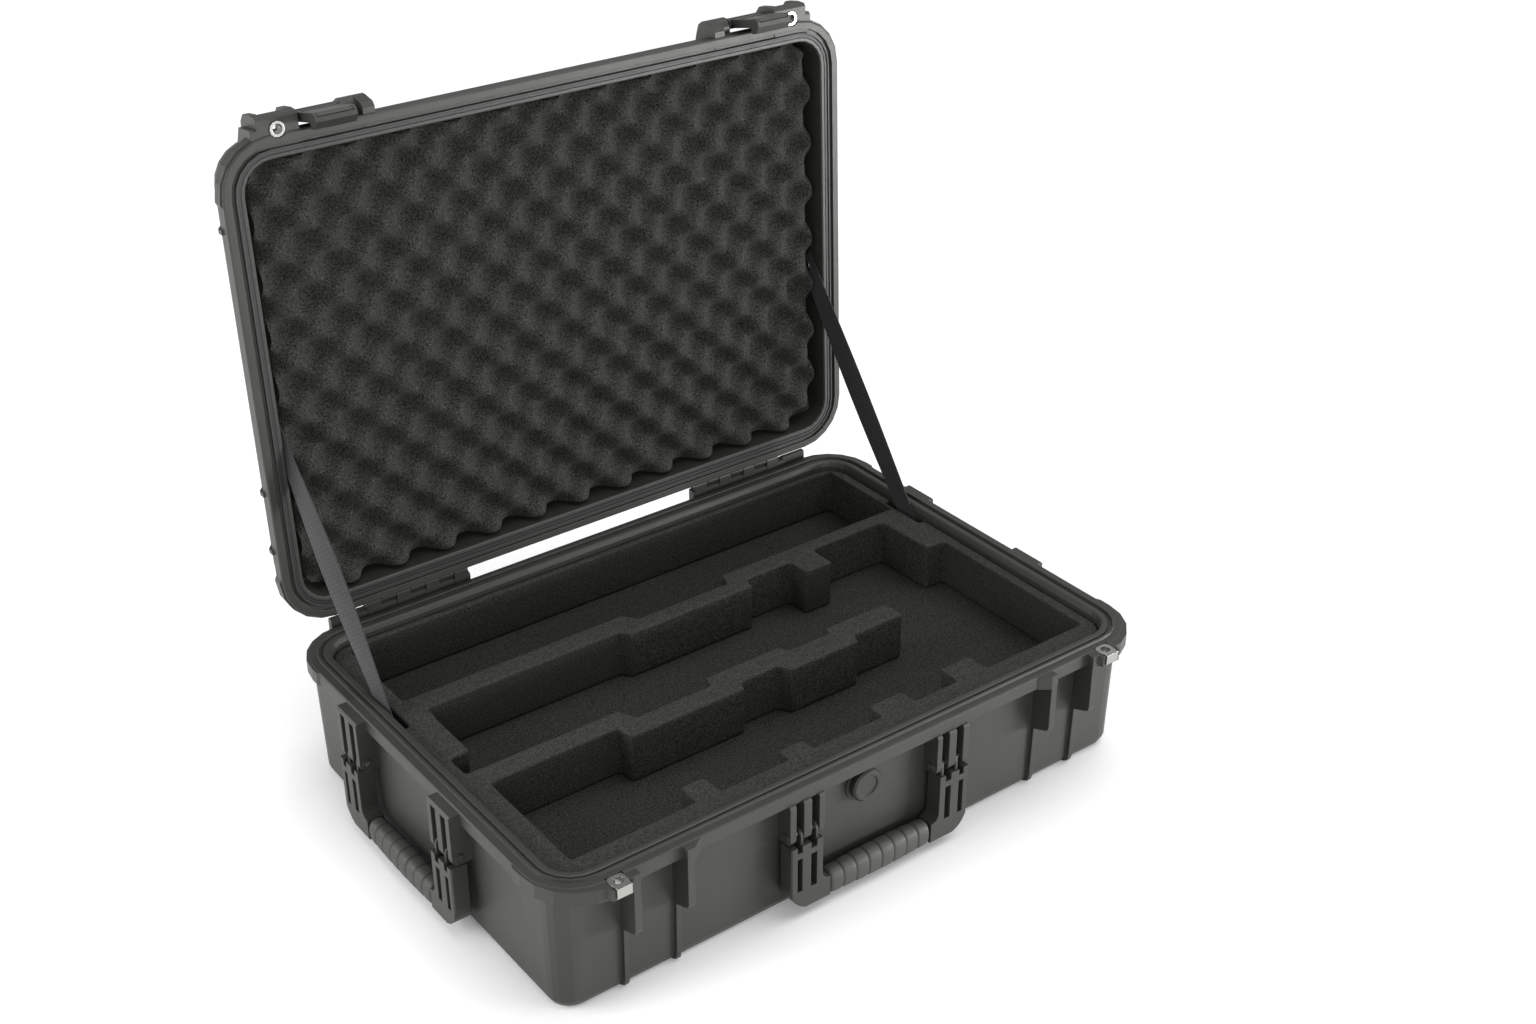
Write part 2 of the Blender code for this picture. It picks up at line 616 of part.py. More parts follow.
def make_handle(wall, frame_material, grip_material, pin_material):
    """A folding handle: arms with tongues on the pins, a bar, a soft grip and two pins."""
    pivot = (PIVOT_OUT, RIM_Z - PIVOT_DOWN)
    top = pivot[1] - 8.6
    low = RIM_Z - HANDLE_BOTTOM
    bar = RIM_Z - BAR_TOP
    place = wall_frame(wall)
    rings = []
    for shrink, out in ((1.2, 4.0), (0.0, 5.2), (0.0, 20.2), (1.2, 21.4)):
        # Only the outer edge of the U is eased, so that its inner edge stays true.
        ring = []
        for u, z in handle_outline(top):
            if abs(u) > HANDLE_HALF - 0.01 or z < low + 0.01:
                u -= math.copysign(shrink, u) if abs(u) > HANDLE_HALF - 0.01 else 0.0
                z += shrink if z < low + 0.01 else 0.0
            ring.append(place(u, out, z))
        rings.append(ring)
    frame = loft("handle_" + wall + "_frame", rings, frame_material)
    for sign in (-1, 1):
        for first, second in ((72.2, 75.0), (89.4, 92.0)):
            tongue = arc(pivot, 6.6, 0.0, 180.0, 6)
            tongue += [(PIVOT_OUT - 6.6, top - 1.0), (PIVOT_OUT + 6.6, top - 1.0)]
            a, b = span(sign, first, second)
            add(frame, wall_prism("tongue", wall, tongue, a, b))
        for first, second in ((75.6, 82.4), (92.0, 97.6)):
            a, b = span(sign, first, second)
            for high, deep in ((top + 4.0, top - 7.0), (top - 13.0, top - 50.0)):
                slot = [(1.0, high), (25.0, high), (25.0, deep), (1.0, deep)]
                cut(frame, wall_prism("slot", wall, slot, a, b))
        a, b = span(sign, 60.0, HANDLE_HALF + 5.0)
        cut(frame, wall_prism("bore", wall, arc(pivot, BORE_R, 0.0, 324.0, 9), a, b))
    # The bar is slim under the soft grip, which closes round it.
    middle = (12.6, (bar - 4.0 + low) / 2)
    for outline in ([(0.0, bar), (8.4, bar), (8.4, low - 5.0), (0.0, low - 5.0)],
                    [(16.8, bar), (30.0, bar), (30.0, low - 5.0), (16.8, low - 5.0)],
                    [(-1.0, bar), (31.0, bar), (31.0, middle[1] + 5.0), (-1.0, middle[1] + 5.0)],
                    [(-1.0, middle[1] - 5.0), (31.0, middle[1] - 5.0), (31.0, low - 5.0), (-1.0, low - 5.0)]):
        cut(frame, wall_prism("grip seat", wall, outline, -60.0, 60.0))
    grip = make_grip(wall, middle, grip_material)
    pins = []
    for side, sign in (("a", -1), ("b", 1)):
        a, b = span(sign, 65.6, HANDLE_HALF - 1.2)
        circle = arc(pivot, PIN_R, 0.0, 324.0, 9)
        pins.append(wall_prism("handle_" + wall + "_pin_" + side, wall, circle, a, b, pin_material))
    return frame, grip, pins


def make_grip(wall, middle, material):
    """A sleeve of soft plastic round the bar; plain here, with room for its ribs."""
    place = wall_frame(wall)
    outer = [(middle[0] + a, middle[1] + b) for a, b in rounded_rect(10.6, 14.6, 8.0, 4)]
    inner = [(middle[0] + a, middle[1] + b) for a, b in rounded_rect(4.7, 5.5, 1.0, 4)]
    loops = ((outer, -59.4), (outer, 59.4), (inner, 59.4), (inner, -59.4))
    count = len(outer)
    points = [place(along, out, z) for outline, along in loops for out, z in outline]
    faces = []
    for row in range(4):
        base = row * count
        following = ((row + 1) % 4) * count
        for i in range(count):
            j = (i + 1) % count
            faces.append([base + i, base + j, following + j, following + i])
    return mesh_object("handle_" + wall + "_grip", points, faces, material)


# ---------------------------------------------------------------- lid

def lid_profile():
    """Outside from the top down, over the rim's grooves, and up inside."""
    top = RIM_Z + LID_DEPTH
    high = LID_INSET + 2.0
    return [
        (high + 13.0, top), (high + 6.0, top - 1.6), (high + 1.7, top - 6.0), (high, top - 13.0),
        (LID_INSET, RIM_Z + BAND), (0.6, RIM_Z + BAND), (0.0, RIM_Z + BAND - 0.8),
        (0.0, RIM_Z + 1.7), (1.2, RIM_Z + 0.5),
        (7.9, RIM_Z + 0.5), (8.1, RIM_Z + 3.4), (11.8, RIM_Z + 3.4), (12.0, RIM_Z + 0.4),
        (13.4, RIM_Z + 0.4), (13.5, RIM_Z + 4.5), (17.0, RIM_Z + 4.5), (17.2, RIM_Z + 1.9),
        (20.4, RIM_Z + 1.9), (LID_INNER, RIM_Z + 3.2),
        (LID_INNER, top - WALL - 6.0), (LID_INNER + 6.0, top - WALL),
    ]


def lid_corners(lid, sign):
    """Reinforced corners of the lid's rim, and the lug that carries the eyelet and one end of the pin."""
    side = LENGTH / 2 + 1.6
    for front in (-1, 1):
        edge = DEPTH / 2 + 1.6
        outline = [(side - 12.0, 182.0), (side - 2.4, 182.0), (side, 187.0)]
        outline += arc((side - RIM_CORNER - 2.0, edge - RIM_CORNER - 2.0), RIM_CORNER + 2.0, 0.0, 90.0, 5)
        outline += [(side - 54.0, edge - 5.0), (side - 40.0, edge - 10.0), (side - 12.0, 200.0)]
        flipped = [(sign * x, front * y) for x, y in outline]
        add(lid, extrude("corner", flipped, "Z", RIM_Z + 3.6, RIM_Z + BAND + 0.5))
    front = -DEPTH / 2
    wall = front + LID_INSET + 3.0
    lug = [(wall, RIM_Z + 2.6), (front - 14.0, RIM_Z + 2.6), (front - 16.5, RIM_Z + 4.5),
           (front - 17.0, RIM_Z + 14.0), (front - 15.0, RIM_Z + 28.0), (front - 8.0, RIM_Z + 34.0),
           (wall, RIM_Z + 38.0)]
    low, high = span(sign, 259.6, 299.0)
    add(lid, extrude("lug", lug, "X", low, high))
    end = [(wall, RIM_Z + 2.6), (front - 5.0, RIM_Z + 2.6), (front - 7.0, RIM_Z + 5.0),
           (front - 5.0, RIM_Z + 26.0), (wall, RIM_Z + 34.0)]
    low, high = span(sign, 298.0, 305.0)
    add(lid, extrude("lug", end, "X", low, high))
    x = sign * EYELET_X
    cut(lid, box("shackle room", (x - 12.8, front - 30.0, RIM_Z + 12.0),
                 (x + 12.8, front + 6.0, RIM_Z + 50.0)))
    reach = EYELET_ROUND + 0.5
    seat = rounded_rect(reach, reach, reach - 0.4, 4, (x, EYELET_Y))
    cut(lid, extrude("seat", seat, "Z", RIM_Z - 5.0, RIM_Z + 3.3))
    cut_eyelet_hole(lid, sign, RIM_Z - 5.0, RIM_Z + 30.0)


def latch_ears(lid, sign):
    """The lug carries one end of the latch's pin, and this stepped ear the other."""
    front = -DEPTH / 2
    wall = front + LID_INSET + 3.0
    for low, high, lower in ((186.0, 198.0, 3.0), (197.0, LATCH_X - LATCH_HALF - 4.6, 14.0)):
        ear = [(wall, RIM_Z + lower), (front - 6.0, RIM_Z + lower), (front - 10.0, RIM_Z + lower + 3.0),
               (front - 13.0, RIM_Z + 20.0), (front - 13.0, RIM_Z + 25.0), (front - 9.0, RIM_Z + 31.0),
               (front + 1.0, RIM_Z + 35.0), (wall, RIM_Z + 38.0)]
        first, second = span(sign, low, high)
        add(lid, extrude("ear", ear, "X", first, second))
    low, high = span(sign, 192.0, 268.0)
    cut(lid, cylinder("pin hole", "X", (LATCH_Y, LATCH_Z), BORE_R, low, high, 10))


def lid_knuckles(lid, sign):
    back = DEPTH / 2
    axis = (HINGE_Y, HINGE_Z)
    outline = [(back - 6.0, RIM_Z + 5.5), (back - 0.5, RIM_Z + 5.5)]
    outline += arc(axis, KNUCKLE, 235.0, 450.0, 7)
    outline += [(back - 1.0, HINGE_Z + KNUCKLE), (back - 6.0, RIM_Z + 13.0)]
    for low, high in hinge_spans(sign, False):
        add(lid, extrude("knuckle", outline, "X", low, high))
    low, high = span(sign, HINGE_INNER - 5.0, HINGE_OUTER + 5.0)
    cut(lid, cylinder("bore", "X", axis, HINGE_BORE_R, low, high, 10))


def lid_gussets(lid, sign):
    """Small gussets brace the rim's band along the lid's ends."""
    edge = LENGTH / 2
    outline = [(edge - 6.0, RIM_Z + 8.0), (edge + 2.0, RIM_Z + 9.0), (edge + 2.0, RIM_Z + 16.0),
               (edge - LID_INSET - 1.0, RIM_Z + 32.0), (edge - LID_INSET - 4.0, RIM_Z + 12.0)]
    for y in (-161.0, 95.0, 156.0):
        add(lid, extrude("gusset", mirrored(outline, sign), "Y", y - 2.2, y + 2.2))


def lid_panel(lid):
    """Three shallow recesses along the lid's outer face."""
    top = RIM_Z + LID_DEPTH
    for y in (-120.0, 0.0, 120.0):
        outline = rounded_rect(250.0, 16.0, 12.0, 4, (0.0, y))
        cut(lid, extrude("panel", outline, "Z", top - 1.5, top + 5.0))


def make_lid(material):
    lid = tub("lid_shell", lid_profile(), material)
    for name, sign in sides():
        lid_corners(lid, sign)
        latch_ears(lid, sign)
        lid_knuckles(lid, sign)
        lid_gussets(lid, sign)
        y, z = STRAP_LID
        inner = LENGTH / 2 - LID_INNER
        low, high = span(sign, inner - 2.0, inner + 4.4)
        cut(lid, cylinder("screw hole", "X", (y, z), 2.4, low, high, 12))
    lid_panel(lid)
    return lid


def make_gasket(material):
    outlines = []
    for inset in (13.8, 16.7):
        outlines.append(rounded_rect(LENGTH / 2 - inset, DEPTH / 2 - inset, RIM_CORNER - inset))
    return ring_solid("lid_gasket", outlines[0], outlines[1], RIM_Z + 1.6, RIM_Z + 4.2, material)


def make_lid_foam(material):
    """A plain block that holds the place of the convoluted foam."""
    inset = LID_INNER + 0.8
    outline = rounded_rect(LENGTH / 2 - inset, DEPTH / 2 - inset, RIM_CORNER - inset)
    top = RIM_Z + LID_DEPTH - WALL - FIT
    rings = []
    for extra, z in ((0.0, LID_FOAM_FACE), (0.0, top - 6.0), (6.0, top)):
        half_x = LENGTH / 2 - inset - extra
        half_y = DEPTH / 2 - inset - extra
        ring = rounded_rect(half_x, half_y, RIM_CORNER - inset - extra)
        rings.append([(x, y, z) for x, y in ring])
    foam = loft("lid_foam", rings, material)
    edge = LENGTH / 2 - LID_INNER + 5.0
    for name, sign in sides():
        first, second = span(sign, edge - 13.0, edge)
        cut(foam, box("strap room", (first, STRAP_LID[0] - 21.0, LID_FOAM_FACE - 5.0),
                       (second, STRAP_LID[0] + 51.0, RIM_Z + 43.0)))
    return foam


# ---------------------------------------------------------------- latches

def make_latch(side, sign, body_material, steel):
    """A latch on the lid: its body with two cheeks, and a sprung trigger between them."""
    x = sign * LATCH_X
    inner = -DEPTH / 2 - 1.6
    edge = -DEPTH / 2
    body = [(LATCH_FACE + 3.0, RIM_Z - 27.5), (edge - 2.0, RIM_Z - 27.5), (edge + 4.4, RIM_Z - 22.0),
            (edge + 4.4, RIM_Z - BAND - 1.0), (inner, RIM_Z - BAND - 1.0),
            (inner, RIM_Z + 17.0), (LATCH_Y + 3.4, RIM_Z + 17.0)]
    body += arc((LATCH_Y, LATCH_Z), 5.4, -40.0, 120.0, 8)
    body += [(LATCH_FACE + 1.0, RIM_Z + 31.0), (LATCH_FACE, RIM_Z + 28.0), (LATCH_FACE, RIM_Z - 24.0)]
    latch = extrude("latch_" + side + "_body", body, "X", x - LATCH_HALF, x + LATCH_HALF, body_material)
    barrel = arc((LATCH_Y, LATCH_Z), 5.4, 0.0, 324.0, 9)
    add(latch, extrude("barrel", barrel, "X", x - LATCH_HALF - 2.0 * (sign > 0) - 0.2,
                       x + LATCH_HALF + 2.0 * (sign < 0) + 0.2))
    narrow = LATCH_HALF - 2.6
    room = [(LATCH_FACE - 5.0, RIM_Z - 40.0), (TRIGGER_Y + 0.8, RIM_Z - 40.0)]
    room += arc((TRIGGER_Y, TRIGGER_Z), 3.0, -70.0, 90.0, 5)
    room += [(LATCH_FACE - 5.0, TRIGGER_Z + 3.0)]
    cut(latch, extrude("trigger room", room, "X", x - narrow, x + narrow))
    cut(latch, cylinder("pin hole", "X", (LATCH_Y, LATCH_Z), BORE_R, x - 30.0, x + 30.0, 10))
    trigger_axis = (TRIGGER_Y, TRIGGER_Z)
    cut(latch, cylinder("trigger pin hole", "X", trigger_axis, 1.3, x - 30.0, x + 30.0, 12))
    lever = [(TRIGGER_Y + 0.3, RIM_Z - 27.5), (LATCH_FACE + 3.0, RIM_Z - 27.5), (LATCH_FACE, RIM_Z - 24.0),
             (LATCH_FACE, TRIGGER_Z - 2.0)]
    lever += arc(trigger_axis, 2.5, 150.0, 0.0, 8)
    lever += [(TRIGGER_Y + 0.3, TRIGGER_Z - 2.4)]
    trigger = extrude("latch_" + side + "_trigger", lever, "X", x - narrow + FIT, x + narrow - FIT, body_material)
    cut(trigger, cylinder("bore", "X", trigger_axis, 1.3, x - 30.0, x + 30.0, 12))
    low, high = span(sign, 193.0, 267.0)
    pin = cylinder("latch_" + side + "_pin", "X", (LATCH_Y, LATCH_Z), PIN_R, low, high, 10, body_material)
    small = cylinder("latch_" + side + "_trigger_pin", "X", trigger_axis, 0.9,
                     x - LATCH_HALF + 0.6, x + LATCH_HALF - 0.6, 10, steel)
    return latch, trigger, pin, small


# ---------------------------------------------------------------- hinge pins, straps and screws

def open_place(y, z):
    """Where a point of the closed lid is when the lid rests open."""
    angle = math.radians(LID_OPEN)
    dy, dz = y - HINGE_Y, z - HINGE_Z
    return (HINGE_Y + dy * math.cos(angle) + dz * math.sin(angle),
            HINGE_Z - dy * math.sin(angle) + dz * math.cos(angle))


def make_strap(side, sign, material):
    """A taut stay of flat webbing between its two screws, lid open."""
    start = Vector(STRAP_BASE)
    end = Vector(open_place(*STRAP_LID))
    along = (end - start).normalized()
    across = Vector((-along.y, along.x)) * STRAP_WIDTH / 2
    first = start - along * 11.0
    last = end + along * 11.0
    outline = [tuple(first - across), tuple(last - across), tuple(last + across), tuple(first + across)]
    low, high = span(sign, STRAP_X - STRAP_THICK / 2, STRAP_X + STRAP_THICK / 2)
    strap = extrude("lid_strap_" + side, outline, "X", low, high, material)
    for centre in (start, end):
        cut(strap, cylinder("hole", "X", tuple(centre), 2.6, low - 3.0, high + 3.0, 12))
    return strap


def make_screw(name, sign, centre, reach, material):
    """A pan-head screw through the webbing into the wall; the head faces inwards."""
    face = STRAP_X - STRAP_THICK / 2 - FIT
    profile = [(3.4, face - 2.2), (5.2, face - 1.2), (5.2, face), (2.0, face), (2.0, reach)]
    return revolve(name, "X", centre, [(radius, sign * along) for radius, along in profile], 12, material)


# ---------------------------------------------------------------- assembly

def build():
    clear_scene()
    materials = {name: make_material(name) for name in COLOURS}
    steel = materials["steel"]
    base_root = empty_at("base_origin", (0.0, 0.0, 0.0))
    lid_root = empty_at("lid_axis", (0.0, HINGE_Y, HINGE_Z), base_root)

    fixed = [make_base(materials["shell"])]
    fixed += make_base_foam(materials["foam"])
    fixed += make_valve(materials["latch"], materials["gasket"])
    on_lid = [make_lid(materials["shell"]), make_gasket(materials["gasket"]), make_lid_foam(materials["foam"])]
    for side, sign in sides():
        fixed.append(make_base_eyelet("base_eyelet_" + side, sign, steel))
        low, high = span(sign, HINGE_INNER + 1.0, HINGE_OUTER - 1.0)
        fixed.append(cylinder("hinge_pin_" + side, "X", (HINGE_Y, HINGE_Z), HINGE_PIN_R, low, high, 10, steel))
        fixed.append(make_strap(side, sign, materials["webbing"]))
        reach = LENGTH / 2 - BASE_INNER + 3.0
        fixed.append(make_screw("strap_screw_base_" + side, sign, STRAP_BASE, reach, steel))
        half = (EYELET_ROUND, EYELET_ROUND)
        name = "lid_eyelet_" + side
        on_lid.append(make_eyelet(name, sign, RIM_Z + 2.9, -1, half, EYELET_ROUND - 0.4, steel))
        reach = LENGTH / 2 - LID_INNER + 3.8
        on_lid.append(make_screw("strap_screw_lid_" + side, sign, STRAP_LID, reach, steel))

        latch, lever, pin, small = make_latch(side, sign, materials["latch"], steel)
        on_lid.append(pin)
        latch_root = empty_at("latch_axis_" + side, (sign * LATCH_X, LATCH_Y, LATCH_Z), lid_root)
        trigger_root = empty_at("trigger_axis_" + side, (sign * LATCH_X, TRIGGER_Y, TRIGGER_Z), latch_root)
        hang(latch, latch_root)
        hang(small, latch_root)
        hang(lever, trigger_root)
        latch_root.rotation_euler.x = -math.radians(LATCH_REST)

    for wall in ("front", "left", "right"):
        pivot = wall_frame(wall)(0.0, PIVOT_OUT, RIM_Z - PIVOT_DOWN)
        root = empty_at("handle_axis_" + wall, pivot, base_root)
        frame, grip, pins = make_handle(wall, materials["shell"], materials["grip"], steel)
        hang(frame, root)
        hang(grip, root)
        fixed += pins

    for obj in fixed:
        hang(obj, base_root)
    for obj in on_lid:
        hang(obj, lid_root)
    lid_root.rotation_euler.x = -math.radians(LID_OPEN)
    bpy.context.view_layer.update()


build()
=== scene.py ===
"""Looks of the hard equipment case: moulded plastic, cut foam, webbing, grips and steel.

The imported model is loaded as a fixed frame.  Lengths in this file are millimetres and are
turned into metres where a mesh is made.  Pieces of the lid are modelled closed, like the
lid itself, and are then turned about the hinge to where the lid rests open.
"""
import json
import math

import bmesh
import bpy
import numpy as np
from mathutils import Matrix, Vector, noise


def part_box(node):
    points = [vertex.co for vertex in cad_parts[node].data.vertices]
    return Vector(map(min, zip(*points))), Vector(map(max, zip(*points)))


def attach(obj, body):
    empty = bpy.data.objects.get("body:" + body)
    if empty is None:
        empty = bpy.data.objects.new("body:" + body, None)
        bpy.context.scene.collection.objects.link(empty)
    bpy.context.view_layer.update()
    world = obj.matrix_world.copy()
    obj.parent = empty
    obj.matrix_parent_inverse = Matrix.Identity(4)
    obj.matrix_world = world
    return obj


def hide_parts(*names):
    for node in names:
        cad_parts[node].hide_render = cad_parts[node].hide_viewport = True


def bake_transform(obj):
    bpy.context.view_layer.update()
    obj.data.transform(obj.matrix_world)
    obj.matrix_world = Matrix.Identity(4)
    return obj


MM = 0.001

# Colours, linear RGB
PLASTIC = (0.029, 0.0298, 0.0264)
GRIP = (0.044, 0.045, 0.041)
FOAM_DARK = (0.009, 0.009, 0.0084)
FOAM_LIGHT = (0.054, 0.054, 0.050)
RUBBER = (0.010, 0.010, 0.010)
WEBBING = (0.009, 0.0095, 0.0085)
STEEL = (0.40, 0.395, 0.375)
FLOOR = (0.93, 0.93, 0.93)

# Convoluted foam in the lid
PITCH = 53.0              # of the peaks along X and Y
WAVE = 11.0               # half the height from valley to peak
FOAM_STEP = 2.6           # grid of its surface
FOAM_CORNER = 27.0
SIDE_GAP = 6.5            # between the foam and the lid's end walls
END_GAP = 3.0             # between the foam and the lid's front and back walls
BACK_GAP = 4.0            # between the foam's flat back and the lid
PEAK_GAP = 0.4            # from the peaks to the lid foam's CAD face

# Cut foam in the base
CUT_VOXEL = 1.9           # grid of its surface
LID_GRAIN = 620.0         # pores per metre
CUT_GRAIN = 640.0

# Grips and straps
GRIP_BANDS = 8
GROOVE = 1.1              # depth of the grooves between the bands
GRIP_STATIONS = 170       # steps along a grip
GRIP_SIDES = 40
GRIP_POWER = 2.6          # of the grip's rounded section; 2 is an ellipse
GRIP_HOLE = 5.6           # half of the square hole for the handle's bar
STRAP_STEPS = 60
STRAP_WIDTH = 25.0
STRAP_THICK = 1.5
STRAP_END = 10.5          # webbing past each screw
STRAP_BOW = 0.5
STRAP_TWIST = {"left": 22.0, "right": 12.0}     # degrees, at the strap's middle

# Studio: lights in watts, or watts per square metre for the sun; lengths in metres
FLOOR_HALF = 60.0
SURROUND = 0.52
SUN = ((0.34, -0.06, 0.94), 1.75, 55.0)         # direction, strength, spread in degrees
AREA_LIGHTS = {           # place, aim, size, power
    "key": ((2.2, -1.9, 0.12), (0.0, 0.25, 0.38), (1.3, 0.5), 120.0),
    "left": ((-2.4, 0.9, 1.0), (-0.34, 0.0, 0.12), (1.8, 1.4), 55.0),
    "front": ((-0.9, -3.0, 1.4), (0.0, 0.0, 0.2), (2.6, 1.6), 34.0),
}

# Camera
AZIMUTH = math.radians(-37.303)
ELEVATION = math.radians(29.575)
DISTANCE = 2.153
TARGET = Vector((0.1835, 0.1644, 0.140))
LENS = 46.95


# ---------------------------------------------------------------- node helpers

def add_node(tree, kind, **values):
    """A shader node; values name its input sockets, with _ for a space."""
    node = tree.nodes.new(kind)
    for key, value in values.items():
        node.inputs[key.replace("_", " ")].default_value = value
    return node


def start_material(name, colour, roughness, metallic=0.0):
    material = bpy.data.materials.new(name)
    material.use_nodes = True
    tree = material.node_tree
    shader = tree.nodes["Principled BSDF"]
    shader.inputs["Base Color"].default_value = (*colour, 1.0)
    shader.inputs["Roughness"].default_value = roughness
    shader.inputs["Metallic"].default_value = metallic
    material.diffuse_color = (*colour, 1.0)
    return material, tree, shader


def object_noise(tree, scale, detail=3.0, roughness=0.55, stretch=None):
    """Noise on the object's own coordinates; scale is per metre."""
    coordinates = tree.nodes.new("ShaderNodeTexCoord")
    texture = add_node(tree, "ShaderNodeTexNoise", Scale=scale, Detail=detail, Roughness=roughness)
    source = coordinates.outputs["Object"]
    if stretch:
        mapping = tree.nodes.new("ShaderNodeMapping")
        mapping.inputs["Scale"].default_value = stretch
        tree.links.new(source, mapping.inputs["Vector"])
        source = mapping.outputs["Vector"]
    tree.links.new(source, texture.inputs["Vector"])
    return texture.outputs["Fac"]


def blend_colours(tree, factor, low, high, shader, from_min=0.3, from_max=0.7):
    """Base colour that runs from low to high as the factor goes from from_min to from_max."""
    ramp = tree.nodes.new("ShaderNodeValToRGB")
    ramp.color_ramp.elements[0].position = from_min
    ramp.color_ramp.elements[0].color = (*low, 1.0)
    ramp.color_ramp.elements[1].position = from_max
    ramp.color_ramp.elements[1].color = (*high, 1.0)
    tree.links.new(factor, ramp.inputs["Fac"])
    tree.links.new(ramp.outputs["Color"], shader.inputs["Base Color"])
    return ramp.outputs["Color"]


def vary_roughness(tree, factor, low, high, shader):
    """Roughness that follows a factor from 0 to 1."""
    spread = add_node(tree, "ShaderNodeMapRange")
    spread.inputs["To Min"].default_value = low
    spread.inputs["To Max"].default_value = high
    tree.links.new(factor, spread.inputs["Value"])
    tree.links.new(spread.outputs["Result"], shader.inputs["Roughness"])


def add_bump(tree, height, strength, distance, shader, round_edges=0.0):
    """Bump from a height, over edges that the Bevel node rounds by a radius in millimetres."""
    bump = add_node(tree, "ShaderNodeBump", Strength=strength, Distance=distance * MM)
    tree.links.new(height, bump.inputs["Height"])
    if round_edges:
        bevel = add_node(tree, "ShaderNodeBevel", Radius=round_edges * MM)
        bevel.samples = 6
        tree.links.new(bevel.outputs["Normal"], bump.inputs["Normal"])
    tree.links.new(bump.outputs["Normal"], shader.inputs["Normal"])


def scaled(colour, factor):
    return tuple(min(1.0, c * factor) for c in colour)


# ---------------------------------------------------------------- materials

def plastic_material(name, colour, roughness, edge, grain):
    """Satin moulded plastic: a fine moulded grain, faint cloudiness and rounded edges."""
    material, tree, shader = start_material(name, colour, roughness)
    cloud = object_noise(tree, 14.0, 4.0)
    blend_colours(tree, cloud, scaled(colour, 0.90), scaled(colour, 1.10), shader)
    vary_roughness(tree, object_noise(tree, 60.0, 5.0), roughness - 0.05, roughness + 0.06, shader)
    add_bump(tree, object_noise(tree, 1500.0, 2.0), grain, 0.12, shader, edge)
    shader.inputs["Specular IOR Level"].default_value = 0.38
    return material


def foam_material(name, dark, light, grain, skin_and_lit_top=None):
    """Open-cell foam, speckled with pores and matt; above a given top height, in metres, it is paler: partly a
    paler foam skin, partly painted light on the lit top faces.
    """
    material, tree, shader = start_material(name, light, 1.0)
    speckle = object_noise(tree, grain, 3.0, 0.62)
    cut_colour = blend_colours(tree, speckle, dark, light, shader, 0.36, 0.65)
    # Painted light: the top faces are made paler, partly as foam skin and partly as light falling on the top.
    if skin_and_lit_top:
        coordinates = tree.nodes.new("ShaderNodeTexCoord")
        split = tree.nodes.new("ShaderNodeSeparateXYZ")
        tree.links.new(coordinates.outputs["Object"], split.inputs["Vector"])
        height = add_node(tree, "ShaderNodeMapRange")
        height.inputs["From Min"].default_value = skin_and_lit_top - 2.6 * MM
        height.inputs["From Max"].default_value = skin_and_lit_top - 1.0 * MM
        tree.links.new(split.outputs["Z"], height.inputs["Value"])
        skin_and_painted_light = tree.nodes.new("ShaderNodeMix")
        skin_and_painted_light.data_type = "RGBA"
        tree.links.new(height.outputs["Result"], skin_and_painted_light.inputs["Factor"])
        painted_light_colour = tree.nodes.new("ShaderNodeBrightContrast")
        painted_light_colour.inputs["Bright"].default_value = 0.009
        tree.links.new(cut_colour, painted_light_colour.inputs["Color"])
        tree.links.new(cut_colour, skin_and_painted_light.inputs["A"])
        tree.links.new(painted_light_colour.outputs["Color"], skin_and_painted_light.inputs["B"])
        tree.links.new(skin_and_painted_light.outputs["Result"], shader.inputs["Base Color"])
    add_bump(tree, speckle, 0.5, 0.8, shader)
    shader.inputs["Specular IOR Level"].default_value = 0.08
    return material


def rubber_material():
    """Soft black rubber of the seals."""
    material, tree, shader = start_material("rubber", RUBBER, 0.55)
    vary_roughness(tree, object_noise(tree, 90.0, 4.0), 0.45, 0.62, shader)
    add_bump(tree, object_noise(tree, 900.0, 2.0), 0.2, 0.15, shader, 0.4)
    return material


def webbing_material():
    """Woven nylon: fine ribs across the strap, and threads along it, by its own UV map."""
    material, tree, shader = start_material("webbing", WEBBING, 0.72)
    coordinates = tree.nodes.new("ShaderNodeTexCoord")
    heights = []
    for direction, count in (("X", 150.0), ("Y", 15.0)):
        wave = add_node(tree, "ShaderNodeTexWave", Scale=count / 3.1416 / 2.0, Distortion=0.4, Detail=1.0)
        wave.bands_direction = direction
        tree.links.new(coordinates.outputs["UV"], wave.inputs["Vector"])
        heights.append(wave.outputs["Fac"])
    weave = tree.nodes.new("ShaderNodeMath")
    weave.operation = "MULTIPLY"
    tree.links.new(heights[0], weave.inputs[0])
    tree.links.new(heights[1], weave.inputs[1])
    blend_colours(tree, weave.outputs["Value"], scaled(WEBBING, 0.7), scaled(WEBBING, 1.5), shader, 0.1, 0.8)
    add_bump(tree, weave.outputs["Value"], 0.6, 0.35, shader)
    shader.inputs["Sheen Weight"].default_value = 0.25
    shader.inputs["Sheen Roughness"].default_value = 0.45
    return material


def steel_material():
    """Stamped stainless steel with a fine brushed grain."""
    material, tree, shader = start_material("steel", STEEL, 0.28, 1.0)
    brushed = object_noise(tree, 600.0, 3.0, 0.6, (0.15, 1.0, 1.0))
    vary_roughness(tree, brushed, 0.20, 0.36, shader)
    add_bump(tree, brushed, 0.12, 0.05, shader, 0.35)
    return material


def floor_material():
    """A plain pale floor."""
    material, tree, shader = start_material("floor", FLOOR, 0.9)
    blend_colours(tree, object_noise(tree, 3.0), scaled(FLOOR, 0.995), FLOOR, shader)
    return material


# ---------------------------------------------------------------- mesh helpers

